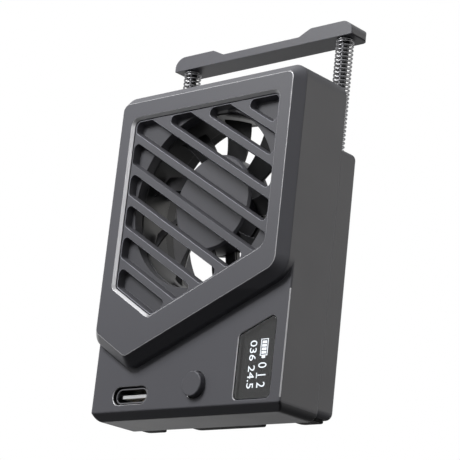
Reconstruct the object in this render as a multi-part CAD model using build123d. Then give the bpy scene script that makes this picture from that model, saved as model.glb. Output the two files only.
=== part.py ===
from build123d import *
import math
import os

# A clip-on camera cooling fan: a flat battery-powered case round a 40 mm axial fan, with a slatted
# window in front, a small display, a button, a charging socket, and a spring-loaded bar above it.
# The bar and the feet below wedge the fan into the screen recess of a camera.
# X is to the right, Y is backwards and Z is up, in millimetres. Inside this file the case's front
# plane is Y = 0; every piece is moved once, at the end, to put the origin under the middle.

# Case
wall = 1.5
top_corner_radius = 3.5
bottom_corner_radius = 2.0
front_chamfer = 1.6
front_edge_radius = 0.4
low_edge_radius = 0.5
opening_chamfer = 0.15
lower_height = 25.2
fan_side_gap = 4.25
fan_top_gap = 3.6

# Raised frame round the fan window
raise_height = 3.3
raise_chamfer = 2.0
raise_edge_radius = 0.25
core_wall = 1.6
core_depth = 1.8
floor_rim = 2.2
slope_angle = 22.4
slope_margin = 1.67
left_corner_drop = 8.3
slope_corner_radius = 5.0
tip_corner_radius = 3.6
rim_side = 4.95
rim_top = 5.35
rim_slope = 6.96
rim_tip = 11.3
window_corner_radius = 1.9
window_slope_radius = 3.2
window_chamfer = 0.58

# Grille
recess_depth = 0.75
seam_depth = 0.8
seam_gap = 0.06
grille_lip = 1.4
fit_gap = 0.12
slat_angle = 32.0
slat_pitch = 5.86
slat_width = 1.5
slat_depth = 1.8
slat_count = 8
slat_shift = -0.25
slot_margin = 0.2
slot_corner_radius = 1.1
slot_draft_angle = 11.9
slat_edge_radius = 0.13

# Fan frame
fan_side = 40.0
fan_depth = 7.0
intake_radius = 19.0
fan_bore_radius = 18.8
fan_corner_radius = 3.0
bellmouth_radius = 0.2
fan_screw_half_pitch = 16.0
strut_width = 2.9
strut_thickness = 1.0
strut_angles = (42.0, 162.0, 282.0)
base_inset = 0.15

# Rotor
hub_front = 2.3
hub_radius = 10.35
hub_rear_gap = 0.3
hub_wall = 0.9
hub_chamfer = 0.5
hub_boss_radius = 1.9
thrust_gap = 0.2
blade_count = 9
blade_tip_gap = 0.5
blade_thickness = 0.75
blade_lead_angle = 37.0
blade_sweep = 14.0
blade_root_chord = 2.4
blade_tip_chord = 5.6
blade_front_gap = 0.72
blade_depth = 2.8
blade_bow = -0.27
yoke_thickness = 0.4
yoke_setback = 0.3
magnet_thickness = 1.2
magnet_length = 2.8
shaft_radius = 0.75
shaft_hub_depth = 0.4
running_gap = 0.03

# Motor
tube_wall = 0.7
tube_length = 4.9
tube_floor = 0.4
bearing_radius = 2.0
bearing_width = 1.2
air_gap = 0.35
pole_count = 4
pole_width = 1.6
pole_shoe_thickness = 0.9
pole_shoe_angle = 62.0
stator_length = 1.9
stator_setback = 0.5
coil_overhang = 0.3
coil_thickness = 0.9
motor_board_thickness = 0.5
motor_board_gap = 0.05

# Chassis plate behind the fan
plate_thickness = 1.5
plate_gap = 0.1
plate_overlap = 0.2
plate_corner_radius = 0.5
plate_stand = 1.4
plate_boss_radius = 2.4

# Rear cover
rear_depth = 5.2
rear_step_drop = 13.9
rear_lift = 1.1
rear_corner_radius = 1.5
rear_edge_radius = 1.0
outlet_radius = 19.3
duct_wall = 1.2
column_half_width = 2.9

# Screws and their posts
post_radius = 2.0
post_start = 4.5
post_overlap = 0.15
screw_hole_radius = 0.8
screw_radius = 1.0
screw_grip = 3.4
screw_head_radius = 1.9
screw_head_height = 1.2
screw_slot_width = 0.5
screw_head_gap = 0.15
screw_hole_gap = 0.1
plate_head_radius = 1.4
cover_screw_sink = 0.4
lower_post_height = 5.0
middle_post_height = 33.0
screw_sink = 0.15

# Sliding bar
bar_side_gap = 0.65
bar_front_gap = 0.4
bar_depth = 5.8
bar_end_height = 3.25
bar_middle_height = 1.8
bar_end_radius = 2.8
bar_block_length = 11.3
bar_ramp_length = 3.1
bar_ramp_radius = 1.4
bar_rear_radius = 1.6
bar_edge_radius = 0.3
bar_travel = 11.0
rod_side = 4.15
rod_back = 2.8
rod_radius = 0.95
rod_bar_depth = 2.0
rod_head_radius = 1.55
rod_head_height = 1.2
bush_radius = 1.7
bush_length = 2.4
stop_gap = 0.3
channel_gap = 0.15

# Springs
spring_length = 25.1
spring_wire = 0.4
spring_radius = 1.74
spring_turns = 28
spring_bend = 0.55

# Feet under the rear cover
foot_height = 0.55
foot_end_length = 5.9
foot_end_inset = 1.6
foot_middle_length = 18.8
foot_front_gap = 0.3
foot_back_gap = 0.5
foot_radius = 1.2
foot_edge_radius = 0.25

# Control button
button_x = 3.1
button_z = 6.1
button_radius = 2.6
button_gap = 0.15
button_height = 1.2
button_edge_radius = 0.3
button_flange_radius = 3.3
button_flange_thickness = 0.6
button_stem_radius = 1.3
button_travel = 0.4
button_seat_gap = 0.05
switch_spare = 0.2
plunger_radius = 0.9
plunger_length = 1.1
plunger_gap = 0.05
switch_width = 5.0
switch_depth = 3.0
switch_radius = 0.5

# Charging socket
socket_x = -14.8
socket_z = 4.85
socket_width = 8.94
socket_height = 3.16
socket_wall = 0.25
socket_front = 0.6
socket_hole_width = 9.8
socket_hole_height = 3.7
tongue_width = 6.69
tongue_height = 0.7
tongue_setback = 0.8
tongue_length = 3.9

# Display
display_left = 13.5
display_right = 22.9
display_low = 2.45
display_corner_height = 15.5
display_radius = 1.1
display_recess = 0.2
display_flange = 0.8
display_flange_thickness = 0.6
display_gap = 0.15
display_air_gap = 0.15
panel_thickness = 1.2
panel_inset = 0.6
rib_thickness = 1.0
rib_low_inset = 0.6
rib_high_inset = 1.6
rib_left_inset = 0.4
rib_right_inset = 2.7
flex_thickness = 0.3
flex_width = 6.0
flex_bulge = 1.2
flex_front_overlap = 4.0
flex_back_overlap = 2.6
flex_bend = 0.6

# Circuit board and battery
board_half_width = 21.6
board_low = 2.6
board_top_gap = 1.6
board_thickness = 1.0
board_radius = 1.0
board_post_gap = 0.3
board_ledge_depth = 1.5
board_ledge_width = 3.4
board_ledge_height = 2.5
board_ledge_places = (10.0, 20.0)
board_post_radius = 1.6
board_post_places = ((-17.5, 9.6), (9.5, 16.2))
board_screw_radius = 0.7
board_screw_length = 4.0
board_head_radius = 1.3
board_head_height = 0.8
chip_places = ((-4.5, 16.5), (-13.0, 15.0), (-17.2, 14.8), (5.4, 16.4))
chip_sizes = ((5.0, 1.0), (3.0, 0.9), (3.4, 1.6), (2.8, 0.9))
lead_thickness = 0.4
lead_width = 2.6
lead_overlap = 2.5
lead_notch_gap = 0.1
battery_half_width = 20.0
battery_top_gap = 2.6
battery_thickness = 7.0
battery_radius = 1.2
battery_lead_x = -10.7
battery_lead_rise = 1.3
battery_lead_reach = 4.5
battery_lead_bend = 0.5

# Derived places
fan_z = lower_height + fan_side / 2
body_half = fan_side / 2 + fan_side_gap + wall
body_top = lower_height + fan_side + fan_top_gap + wall
raise_front = -raise_height
inner_half = body_half - wall
inner_top = body_top - wall
slope_tan = math.tan(math.radians(slope_angle))
slat_tan = math.tan(math.radians(slat_angle))
slope_cos = math.cos(math.radians(slope_angle))
slat_cos = math.cos(math.radians(slat_angle))
fan_corner_x = fan_side / 2 - fan_corner_radius
fan_corner_z = lower_height + fan_corner_radius
slope_z = fan_corner_z - slope_tan * fan_corner_x - (fan_corner_radius + slope_margin) / slope_cos
tip_z = lower_height - left_corner_drop - slat_tan * body_half
window_half = body_half - rim_side
window_top = body_top - rim_top
window_slope_z = slope_z + rim_slope / slope_cos
window_tip_z = tip_z + rim_tip / slat_cos
grille_front = raise_front + recess_depth
floor_front = grille_front + slat_depth
fan_front = wall
fan_back = fan_front + fan_depth
plate_front = fan_back + plate_stand
body_depth = plate_front + plate_thickness
base_front = fan_back - strut_thickness
lead_angle = strut_angles[2] - 270.0
tube_front = fan_back - tube_length
hub_back = base_front - motor_board_thickness - hub_rear_gap
hub_floor = hub_front + hub_wall
rear_back = body_depth + rear_depth
base_radius = hub_radius - base_inset
motor_board_radius = hub_radius - hub_wall - motor_board_gap
screw_seat = body_depth - screw_head_height - screw_sink
cover_screw_seat = rear_back - screw_head_height - cover_screw_sink
rear_top = body_top - rear_step_drop
post_x = inner_half - post_radius + post_overlap
upper_post_height = inner_top - post_radius + post_overlap
posts = [
    (post_x, lower_post_height),
    (-post_x, lower_post_height),
    (post_x, middle_post_height),
    (-post_x, middle_post_height),
    (post_x, upper_post_height),
    (-post_x, upper_post_height),
]
fan_screws = [
    (x * fan_screw_half_pitch, fan_z + z * fan_screw_half_pitch)
    for x in (-1, 1)
    for z in (-1, 1)
]
rod_x = body_half - rod_side
rod_y = body_depth + rod_back
bar_half_length = body_half - bar_side_gap
bar_front = body_depth + bar_front_gap
bar_back = bar_front + bar_depth
bar_bottom = rear_top + spring_length
bar_top = bar_bottom + bar_end_height
rod_top = bar_bottom + rod_bar_depth
head_top = rear_top - bush_length - stop_gap
head_bottom = head_top - rod_head_height
channel_radius = rod_head_radius + channel_gap
channel_bottom = head_bottom - bar_travel - 1.0
board_back = base_front - lead_thickness
board_front = board_back - board_thickness
battery_low = rear_lift + wall
board_high = lower_height - board_top_gap
battery_height = lower_height - battery_top_gap - battery_low
battery_front = rear_back - wall - battery_thickness
display_back = wall + display_flange_thickness
panel_front = display_back + display_air_gap
panel_back = panel_front + panel_thickness
middle_y = (bar_back + raise_front) / 2


def prism(profile, front, back):
    """Solid between two planes across Y from a profile drawn in X and Z."""
    return extrude(Plane.XZ.offset(-back) * profile, amount=back - front)


def disc(radius, front, back, x=0.0, z=0.0):
    """Round solid along Y."""
    return prism(Pos(x, z) * Circle(radius), front, back)


def post(radius, bottom, top, x, y):
    """Round solid along Z."""
    return Pos(x, y, (bottom + top) / 2) * Cylinder(radius, top - bottom)


def block(x_range, y_range, z_range):
    """Box between two corners."""
    spans = [high - low for low, high in (x_range, y_range, z_range)]
    centre = [(low + high) / 2 for low, high in (x_range, y_range, z_range)]
    return Pos(*centre) * Box(*spans)


def turned(shape, angle):
    """Shape turned about the fan's axis, from X towards Z."""
    return shape.rotate(Axis((0, 0, fan_z), (0, -1, 0)), angle)


def four_sided(half, low, high, low_radius, high_radius):
    """Upright rectangle with rounded corners, drawn in X and Z."""
    points = [(-half, low), (half, low), (half, high), (-half, high)]
    radii = [low_radius, low_radius, high_radius, high_radius]
    return make_face(FilletPolyline(*points, radius=radii, close=True))


def five_sided(half, high, slope, tip, radii, inset=0.0):
    """Fan window outline: level top, upright sides and two sloping lower edges.

    slope and tip are the heights at which the lines of the two lower edges cross X = 0.
    """
    side = half - inset
    top = high - inset
    rise = slope + inset / slope_cos
    fall = tip + inset / slat_cos
    tip_x = (fall - rise) / (slope_tan + slat_tan)
    points = [
        (-side, top),
        (side, top),
        (side, rise + side * slope_tan),
        (tip_x, rise + tip_x * slope_tan),
        (-side, fall + side * slat_tan),
    ]
    corners = [max(radius - inset, 0.3) for radius in radii]
    return make_face(FilletPolyline(*points, radius=corners, close=True))


def raised_outline(inset=0.0):
    """Outer outline of the raised frame round the fan window."""
    radii = [
        top_corner_radius,
        top_corner_radius,
        slope_corner_radius,
        tip_corner_radius,
        tip_corner_radius,
    ]
    return five_sided(body_half, body_top, slope_z, tip_z, radii, inset)


def window_outline(inset=0.0):
    """Outline of the opening in the raised frame."""
    radii = [
        window_corner_radius,
        window_corner_radius,
        window_slope_radius,
        window_corner_radius,
        window_corner_radius,
    ]
    return five_sided(window_half, window_top, window_slope_z, window_tip_z, radii, inset)


def stadium(width, height):
    """Slot outline with round ends, at the charging socket."""
    return Pos(socket_x, socket_z) * SlotOverall(width, height)


def display_outline(inset=0.0):
    """Display outline: upright sides and a top edge that follows the raised frame."""
    left = display_left + inset
    right = display_right - inset
    low = display_low + inset
    corner = display_corner_height + inset * slope_tan - inset / slope_cos
    points = [
        (left, low),
        (right, low),
        (right, corner + (right - left) * slope_tan),
        (left, corner),
    ]
    radius = max(display_radius - inset, 0.3)
    return make_face(FilletPolyline(*points, radius=[radius] * 4, close=True))


def edges_at(solid, y):
    """Edges of a solid that lie in one plane across Y."""
    return solid.edges().filter_by(
        lambda edge: abs(edge.bounding_box().min.Y - y) < 1e-4
        and abs(edge.bounding_box().max.Y - y) < 1e-4
    )


def strip(points, thickness, plane, low, high, radius):
    """Flat cable: a bent line given a thickness and a width."""
    path = FilletPolyline(*points, radius=radius)
    return extrude(plane.offset(low) * trace(path, line_width=thickness), amount=high - low)


def make_front_shell():
    """Case front: lower face, raised frame, side walls and screw posts in one moulding."""
    outline = four_sided(body_half, 0, body_top, bottom_corner_radius, top_corner_radius)
    case = prism(outline, 0, body_depth)
    below = [(-1, -1), (front_chamfer + 1, -1), (-1, front_chamfer + 1)]
    below_face = make_face(Polyline(*below, close=True))
    reach = body_half + 1
    case -= extrude(Plane.YZ.offset(-reach) * below_face, amount=2 * reach)
    case = fillet(edges_at(case, 0).filter_by(Axis.Z), front_edge_radius)
    slope_edges = case.edges().filter_by(Axis.X).sort_by(lambda edge: edge.center().Y + edge.center().Z)
    case = fillet(slope_edges[:2], low_edge_radius)

    raised = prism(raised_outline(), raise_front, front_edge_radius + 0.6)
    raised = chamfer(edges_at(raised, raise_front), raise_chamfer)
    outer_edges = edges_at(raised, raise_front) + edges_at(raised, raise_front + raise_chamfer)
    raised = fillet(outer_edges, raise_edge_radius)
    shell = case + raised

    low_radius = bottom_corner_radius - wall / 2
    inner = four_sided(inner_half, wall, inner_top, low_radius, top_corner_radius - wall)
    shell -= prism(inner, wall, body_depth + 1)
    core = raised_outline(core_wall) - window_outline(-floor_rim)
    shell -= prism(core, raise_front + core_depth, wall + 1)
    shell -= prism(window_outline(window_chamfer - grille_lip), grille_front + seam_depth, wall + 1)
    shell -= prism(window_outline(window_chamfer), raise_front - 1, wall + 1)
    rim = [wire.edges() for wire in shell.faces().sort_by(Axis.Y)[0].inner_wires()]
    shell = chamfer([edge for edges in rim for edge in edges], window_chamfer)
    shell -= prism(display_outline(), -1, wall + 1)
    shell -= disc(button_radius + button_gap, -1, wall + 1, button_x, button_z)
    shell -= prism(stadium(socket_hole_width, socket_hole_height), -1, wall + 1)
    flat = shell.faces().filter_by(Axis.Y).filter_by_position(Axis.Y, -0.01, 0.01)
    rims = [wire.edges() for wire in flat.sort_by(SortBy.AREA)[-1].inner_wires()]
    shell = chamfer([edge for rim in rims for edge in rim], opening_chamfer)

    for x, z in posts:
        end = body_depth if z == lower_post_height else fan_back
        shell += disc(post_radius, post_start, end, x, z) & prism(outline, post_start, end)
        shell -= disc(screw_hole_radius, end - screw_grip - 0.1, end + 1, x, z)
    for x, z in board_post_places:
        shell += disc(board_post_radius, wall - 0.2, board_front, x, z)
        shell -= disc(board_screw_radius, board_back - board_screw_length, board_front + 1, x, z)
    for side in (-1, 1):
        for z in board_ledge_places:
            x_range = sorted((side * (inner_half - board_ledge_width), side * (inner_half + 0.2)))
            z_range = (z - board_ledge_height / 2, z + board_ledge_height / 2)
            shell += block(x_range, (board_front - board_ledge_depth, board_front), z_range)
    return shell


def slot_outlines():
    """Rounded outlines of the slots between the slats."""
    corners = [0] * 5
    margin = window_chamfer + fit_gap + slot_margin
    field = five_sided(window_half, window_top, window_slope_z, window_tip_z, corners, margin)
    span = fan_side + body_half
    outlines = []
    for index in range(slat_count + 1):
        centre = slat_shift + (index - slat_count / 2) * slat_pitch
        gap = slat_pitch - slat_width
        if index == 0:
            centre -= span / 2
            gap += span
        if index == slat_count:
            centre += span / 2
            gap += span
        band = Pos(0, fan_z) * Rot(0, 0, -slat_angle) * Pos(0, centre) * Rectangle(2 * span, gap)
        slot = offset(field & band, -slot_corner_radius)
        outlines.append(offset(slot, slot_corner_radius, kind=Kind.ARC))
    return outlines


def make_front_grille():
    """Insert in the fan window: sloping slats in front of a floor with a round opening."""
    lip_front = grille_front + seam_depth + seam_gap
    lip_inset = window_chamfer + fit_gap - grille_lip
    grille = prism(window_outline(window_chamfer + fit_gap), grille_front, wall)
    grille += prism(window_outline(lip_inset), lip_front, wall)
    for outline in slot_outlines():
        slot = Plane.XZ.offset(-grille_front) * outline
        grille -= extrude(slot, amount=-slat_depth, taper=slot_draft_angle)
    grille -= disc(intake_radius, floor_front, wall + 1, z=fan_z)
    rims = [wire.edges() for wire in grille.faces().sort_by(Axis.Y)[0].inner_wires()]
    return fillet([edge for rim in rims for edge in rim], slat_edge_radius)


def make_fan_frame():
    """Square fan frame with its duct, motor base and struts."""
    square = Pos(0, fan_z) * RectangleRounded(fan_side, fan_side, fan_corner_radius)
    frame = prism(square, fan_front, fan_back)
    bore = disc(fan_bore_radius, fan_front - 1, fan_back + 1, z=fan_z)
    frame = frame - bore
    mouth = edges_at(frame, fan_front).filter_by(GeomType.CIRCLE).sort_by(SortBy.RADIUS)[-1:]
    frame = fillet(mouth, bellmouth_radius)
    frame += disc(base_radius, base_front, fan_back, z=fan_z)
    for angle in strut_angles:
        reach = fan_bore_radius + 0.5
        bar = Pos(0, fan_z) * Rot(0, 0, angle) * Pos(reach / 2, 0) * Rectangle(reach, strut_width)
        frame += prism(bar, base_front, fan_back)
    tube_radius = bearing_radius + tube_wall
    frame += disc(tube_radius, tube_front, fan_back, z=fan_z)
    frame -= disc(bearing_radius, tube_front - 1, fan_back - tube_floor, z=fan_z)
    for x, z in fan_screws:
        frame -= disc(screw_hole_radius, fan_back - screw_grip - 0.1, fan_back + 1, x, z)
    half = lead_width / 2 + lead_notch_gap
    rim = fan_side / 2 - fan_bore_radius
    notch = block(
        (-half, half),
        (base_front - lead_thickness - lead_notch_gap, base_front),
        (lower_height - 1, lower_height + 2 * rim),
    )
    return frame - turned(notch, lead_angle)


def blade_section(radius, share):
    """One cross-section of a blade, square to the radius; share runs from 0 at the hub to 1."""
    chord = blade_root_chord + (blade_tip_chord - blade_root_chord) * share
    lead = blade_lead_angle + blade_sweep * share**1.2
    middle = math.radians(lead) - chord / 2 / radius
    outward = Vector(math.cos(middle), 0, math.sin(middle))
    along = Vector(-math.sin(middle), 0, math.cos(middle))
    front = hub_front + blade_front_gap
    centre = Vector(0, front + blade_depth / 2, fan_z) + outward * radius
    plane = Plane(origin=centre, x_dir=along, z_dir=outward)
    half = chord / 2
    deep = blade_depth / 2
    thick = blade_thickness / 2
    lead_low = (half, deep - thick)
    lead_high = (half, deep + thick * 0.2)
    trail_low = (-half, -deep - thick * 0.2)
    trail_high = (-half, -deep + thick)
    outline = ThreePointArc(lead_high, (0, blade_bow + thick), trail_high)
    outline += Line(trail_high, trail_low)
    outline += ThreePointArc(trail_low, (0, blade_bow - thick), lead_low)
    outline += Line(lead_low, lead_high)
    return plane * make_face(outline)


def make_impeller():
    """Fan hub and its swept blades in one moulding."""
    hub = disc(hub_radius, hub_front, hub_back, z=fan_z)
    hub = chamfer(edges_at(hub, hub_front), hub_chamfer)
    tip_radius = fan_bore_radius - blade_tip_gap
    radii = [hub_radius - 1.2, hub_radius + 2.5, hub_radius + 5.5, tip_radius + 1.0]
    span = radii[-1] - radii[0]
    sections = [blade_section(radius, (radius - radii[0]) / span) for radius in radii]
    blade = loft(sections)
    reach = disc(tip_radius, hub_front, hub_back + 1, z=fan_z)
    blade = blade & reach
    impeller = hub
    for index in range(blade_count):
        impeller += turned(blade, index * 360 / blade_count)
    cup_radius = hub_radius - hub_wall
    impeller -= disc(cup_radius, hub_floor, hub_back + 2, z=fan_z)
    impeller += disc(hub_boss_radius, hub_floor - 0.1, tube_front - thrust_gap, z=fan_z)
    return impeller - disc(shaft_radius, hub_floor - shaft_hub_depth, hub_back, z=fan_z)


def make_rotor_yoke():
    """Steel cup pressed into the hub."""
    radius = hub_radius - hub_wall
    yoke = disc(radius, hub_floor, hub_back - yoke_setback, z=fan_z)
    yoke -= disc(radius - yoke_thickness, hub_floor + yoke_thickness, hub_back, z=fan_z)
    return yoke - disc(hub_boss_radius, hub_floor - 1, hub_back, z=fan_z)


def make_magnet_ring():
    """Ring magnet inside the steel cup."""
    radius = hub_radius - hub_wall - yoke_thickness
    front = hub_floor + yoke_thickness
    ring = disc(radius, front, front + magnet_length, z=fan_z)
    return ring - disc(radius - magnet_thickness, front - 1, front + magnet_length + 1, z=fan_z)


def make_fan_shaft():
    """Steel shaft from the hub boss into the bearings."""
    front = hub_floor - shaft_hub_depth
    return disc(shaft_radius, front, fan_back - tube_floor - thrust_gap, z=fan_z)


def make_fan_bearings():
    """Two ball bearings in the motor tube, each a plain ring."""
    seats = [tube_front, fan_back - tube_floor - bearing_width]
    bearings = []
    for seat in seats:
        ring = disc(bearing_radius, seat, seat + bearing_width, z=fan_z)
        hole = disc(shaft_radius + running_gap, seat - 1, seat + bearing_width + 1, z=fan_z)
        bearings.append(ring - hole)
    return Compound(children=bearings)


def stator_limits():
    """Front and back of the iron core, and its outer radius."""
    magnet_inner = hub_radius - hub_wall - yoke_thickness - magnet_thickness
    front = tube_front + stator_setback
    return front, front + stator_length, magnet_inner - air_gap


def make_stator_core():
    """Iron core with its poles and pole shoes."""
    front, back, radius = stator_limits()
    inner = bearing_radius + tube_wall
    core = disc(inner + 0.8, front, back, z=fan_z)
    ring = disc(radius, front, back, z=fan_z)
    ring -= disc(radius - pole_shoe_thickness, front - 1, back + 1, z=fan_z)
    spread = math.radians(pole_shoe_angle / 2)
    reach = 2 * radius
    width = reach * math.tan(spread)
    wedge = make_face(Polyline((0, 0), (reach, width), (reach, -width), close=True))
    for index in range(pole_count):
        turn = Pos(0, fan_z) * Rot(0, 0, 45 + index * 360 / pole_count)
        arm = turn * Pos(radius / 2, 0) * Rectangle(radius - 0.4, pole_width)
        core += prism(arm, front, back)
        core += ring & prism(turn * wedge, front, back)
    return core - disc(inner, front - 1, back + 1, z=fan_z)


def make_stator_coils():
    """Copper windings, one round each pole."""
    front, back, radius = stator_limits()
    inner = bearing_radius + tube_wall + 0.8
    low = inner + 0.5
    high = radius - pole_shoe_thickness - 0.2
    coils = []
    for index in range(pole_count):
        turn = Pos(0, fan_z) * Rot(0, 0, 45 + index * 360 / pole_count) * Pos((low + high) / 2, 0)
        around = turn * Rectangle(high - low, pole_width + 2 * coil_thickness)
        outer = prism(around, front - coil_overhang, back + coil_overhang)
        hole = prism(turn * Rectangle(high - low + 1, pole_width), front, back)
        coils.append(outer - hole)
    return Compound(children=coils)


def make_motor_board():
    """Round circuit board that lies on the motor base."""
    front = base_front - motor_board_thickness
    board = disc(motor_board_radius, front, base_front, z=fan_z)
    return board - disc(bearing_radius + tube_wall, front - 1, base_front + 1, z=fan_z)


def make_fan_lead():
    """Flat lead from the motor board, along a strut, to the main board."""
    top = fan_z - motor_board_radius
    lead = block(
        (-lead_width / 2, lead_width / 2),
        (base_front - lead_thickness, base_front),
        (board_high - lead_overlap, top),
    )
    return turned(lead, lead_angle)


def make_chassis_plate():
    """Plate behind the fan that carries it and closes the upper case."""
    half = inner_half - plate_gap
    low = lower_height - plate_overlap
    outline = four_sided(half, low, inner_top - plate_gap, plate_corner_radius, top_corner_radius - wall)
    plate = prism(outline, plate_front, body_depth)
    plate += disc(outlet_radius + duct_wall, fan_back, plate_front, z=fan_z)
    for x, z in fan_screws + posts[2:]:
        boss = disc(plate_boss_radius, fan_back, plate_front, x, z)
        plate += boss & prism(outline, fan_back, plate_front)
    plate -= disc(outlet_radius, fan_back - 1, body_depth + 1, z=fan_z)
    for x, z in posts[2:]:
        plate -= disc(screw_radius + screw_hole_gap, fan_back - 1, body_depth + 1, x, z)
    for x, z in posts[4:]:
        plate -= disc(plate_head_radius + screw_head_gap, screw_seat, body_depth + 1, x, z)
    for x, z in fan_screws:
        plate -= disc(screw_radius, fan_back - 1, body_depth + 1, x, z)
        plate -= disc(screw_head_radius + screw_head_gap, screw_seat, body_depth + 1, x, z)
    return plate


def make_rear_cover():
    """Rear cover below the step, with the air outlet and the guides of the two rods."""
    outline = four_sided(body_half, rear_lift, rear_top, rear_corner_radius, rear_corner_radius)
    cover = prism(outline, body_depth, rear_back)
    cover = fillet(edges_at(cover, rear_back), rear_edge_radius)
    whole = prism(outline, body_depth, rear_back - wall)
    inner = four_sided(inner_half, rear_lift + wall, rear_top - wall, 1.0, 1.0)
    cover -= prism(inner, body_depth - 1, rear_back - wall)
    cover += disc(outlet_radius + duct_wall, body_depth, rear_back - wall, z=fan_z) & whole
    for side in (-1, 1):
        x_range = sorted((side * (rod_x - column_half_width), side * (inner_half + 0.1)))
        y_range = (body_depth, rear_back - wall)
        cover += block(x_range, y_range, (channel_bottom - 1.5, rear_top - 0.5))
    for x, z in posts[:4]:
        cover += disc(post_radius, body_depth, rear_back - wall, x, z) & whole
    cover -= disc(outlet_radius, body_depth - 1, rear_back + 1, z=fan_z)
    for side in (-1, 1):
        cover -= post(channel_radius, channel_bottom, rear_top - bush_length, side * rod_x, rod_y)
        cover -= post(bush_radius, rear_top - bush_length - 0.1, rear_top + 1, side * rod_x, rod_y)
    for x, z in posts[:4]:
        cover -= disc(screw_radius + screw_hole_gap, body_depth - 1, rear_back + 1, x, z)
        cover -= disc(screw_head_radius + screw_head_gap, cover_screw_seat, rear_back + 1, x, z)
    return cover


def make_screw(x, z, head_front, length, head=None, radius=screw_hole_radius):
    """Small screw along Y with a crosshead, its head behind its seat."""
    head_radius, head_height = head or (screw_head_radius, screw_head_height)
    screw = disc(head_radius, head_front, head_front + head_height, x, z)
    screw += disc(radius, head_front - length, head_front, x, z)
    reach = head_radius * 1.3
    for size in ((reach, screw_slot_width), (screw_slot_width, reach)):
        cross = Pos(x, z) * Rectangle(*size)
        screw -= prism(cross, head_front + head_height / 2, head_front + head_height + 1)
    return screw


def make_cover_screws():
    """Four screws through the rear cover."""
    screws = []
    for x, z in posts[:4]:
        end = body_depth if z == lower_post_height else fan_back
        length = cover_screw_seat - end + screw_grip
        screws.append(make_screw(x, z, cover_screw_seat, length))
    return Compound(children=screws)


def make_plate_screws():
    """Two screws at the top corners of the chassis plate."""
    length = screw_seat - fan_back + screw_grip
    head = (plate_head_radius, screw_head_height)
    return Compound(children=[make_screw(x, z, screw_seat, length, head) for x, z in posts[4:]])


def make_fan_screws():
    """Four screws that hold the fan frame to the chassis plate."""
    length = screw_seat - fan_back + screw_grip
    return Compound(children=[make_screw(x, z, screw_seat, length) for x, z in fan_screws])


def make_board_screws():
    """Two small screws that hold the main board."""
    head = (board_head_radius, board_head_height)
    screws = []
    for x, z in board_post_places:
        screws.append(make_screw(x, z, board_back, board_screw_length, head, board_screw_radius))
    return Compound(children=screws)


def make_top_bar():
    """Sliding bar with a thicker block at each end."""
    block_start = bar_half_length - bar_block_length
    ramp_start = block_start - bar_ramp_length
    low = bar_bottom
    middle = bar_bottom + bar_middle_height
    right = [
        (ramp_start, middle),
        (block_start, bar_top),
        (bar_half_length, bar_top),
        (bar_half_length, low),
    ]
    left = [(-x, z) for x, z in reversed(right)]
    radii = [bar_ramp_radius, bar_ramp_radius, bar_end_radius, bar_edge_radius]
    radii = radii + list(reversed(radii))
    profile = make_face(FilletPolyline(*right, *left, radius=radii, close=True))
    bar = prism(profile, bar_front, bar_back)
    reach = bar_half_length
    corners = [(-reach, bar_front), (reach, bar_front), (reach, bar_back), (-reach, bar_back)]
    radii = [bar_edge_radius, bar_edge_radius, bar_rear_radius, bar_rear_radius]
    plan = make_face(FilletPolyline(*corners, radius=radii, close=True))
    bar = bar & extrude(Plane.XY.offset(low - 1) * plan, amount=bar_end_height + 2)
    for side in (-1, 1):
        bar -= post(rod_radius, bar_bottom - 1, rod_top, side * rod_x, rod_y)
    return bar


def make_guide_rods():
    """Two steel rods with a stop head at the lower end."""
    rods = []
    for side in (-1, 1):
        rod = post(rod_radius, head_top, rod_top, side * rod_x, rod_y)
        rod += post(rod_head_radius, head_bottom, head_top, side * rod_x, rod_y)
        rods.append(rod)
    return Compound(children=rods)


def make_guide_bushes():
    """Two brass bushes in the step of the rear cover."""
    bushes = []
    for side in (-1, 1):
        bush = post(bush_radius, rear_top - bush_length, rear_top, side * rod_x, rod_y)
        bush -= post(rod_radius + running_gap, head_bottom, bar_top, side * rod_x, rod_y)
        bushes.append(bush)
    return Compound(children=bushes)


def biarc(start, start_dir, end, end_dir):
    """Two arcs that join two points with given directions."""
    span = end - start
    total = start_dir + end_dir
    spread = 2 * (1 - start_dir.dot(end_dir))
    along = span.dot(total)
    reach = (-along + math.sqrt(along**2 + spread * span.dot(span))) / spread
    middle = (start + start_dir * reach + end - end_dir * reach) / 2
    middle_dir = (end - end_dir * reach - start - start_dir * reach).normalized()
    first = Edge.make_tangent_arc(start, start_dir, middle)
    second = Edge.make_tangent_arc(middle, middle_dir, end)
    return [first, second]


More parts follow.
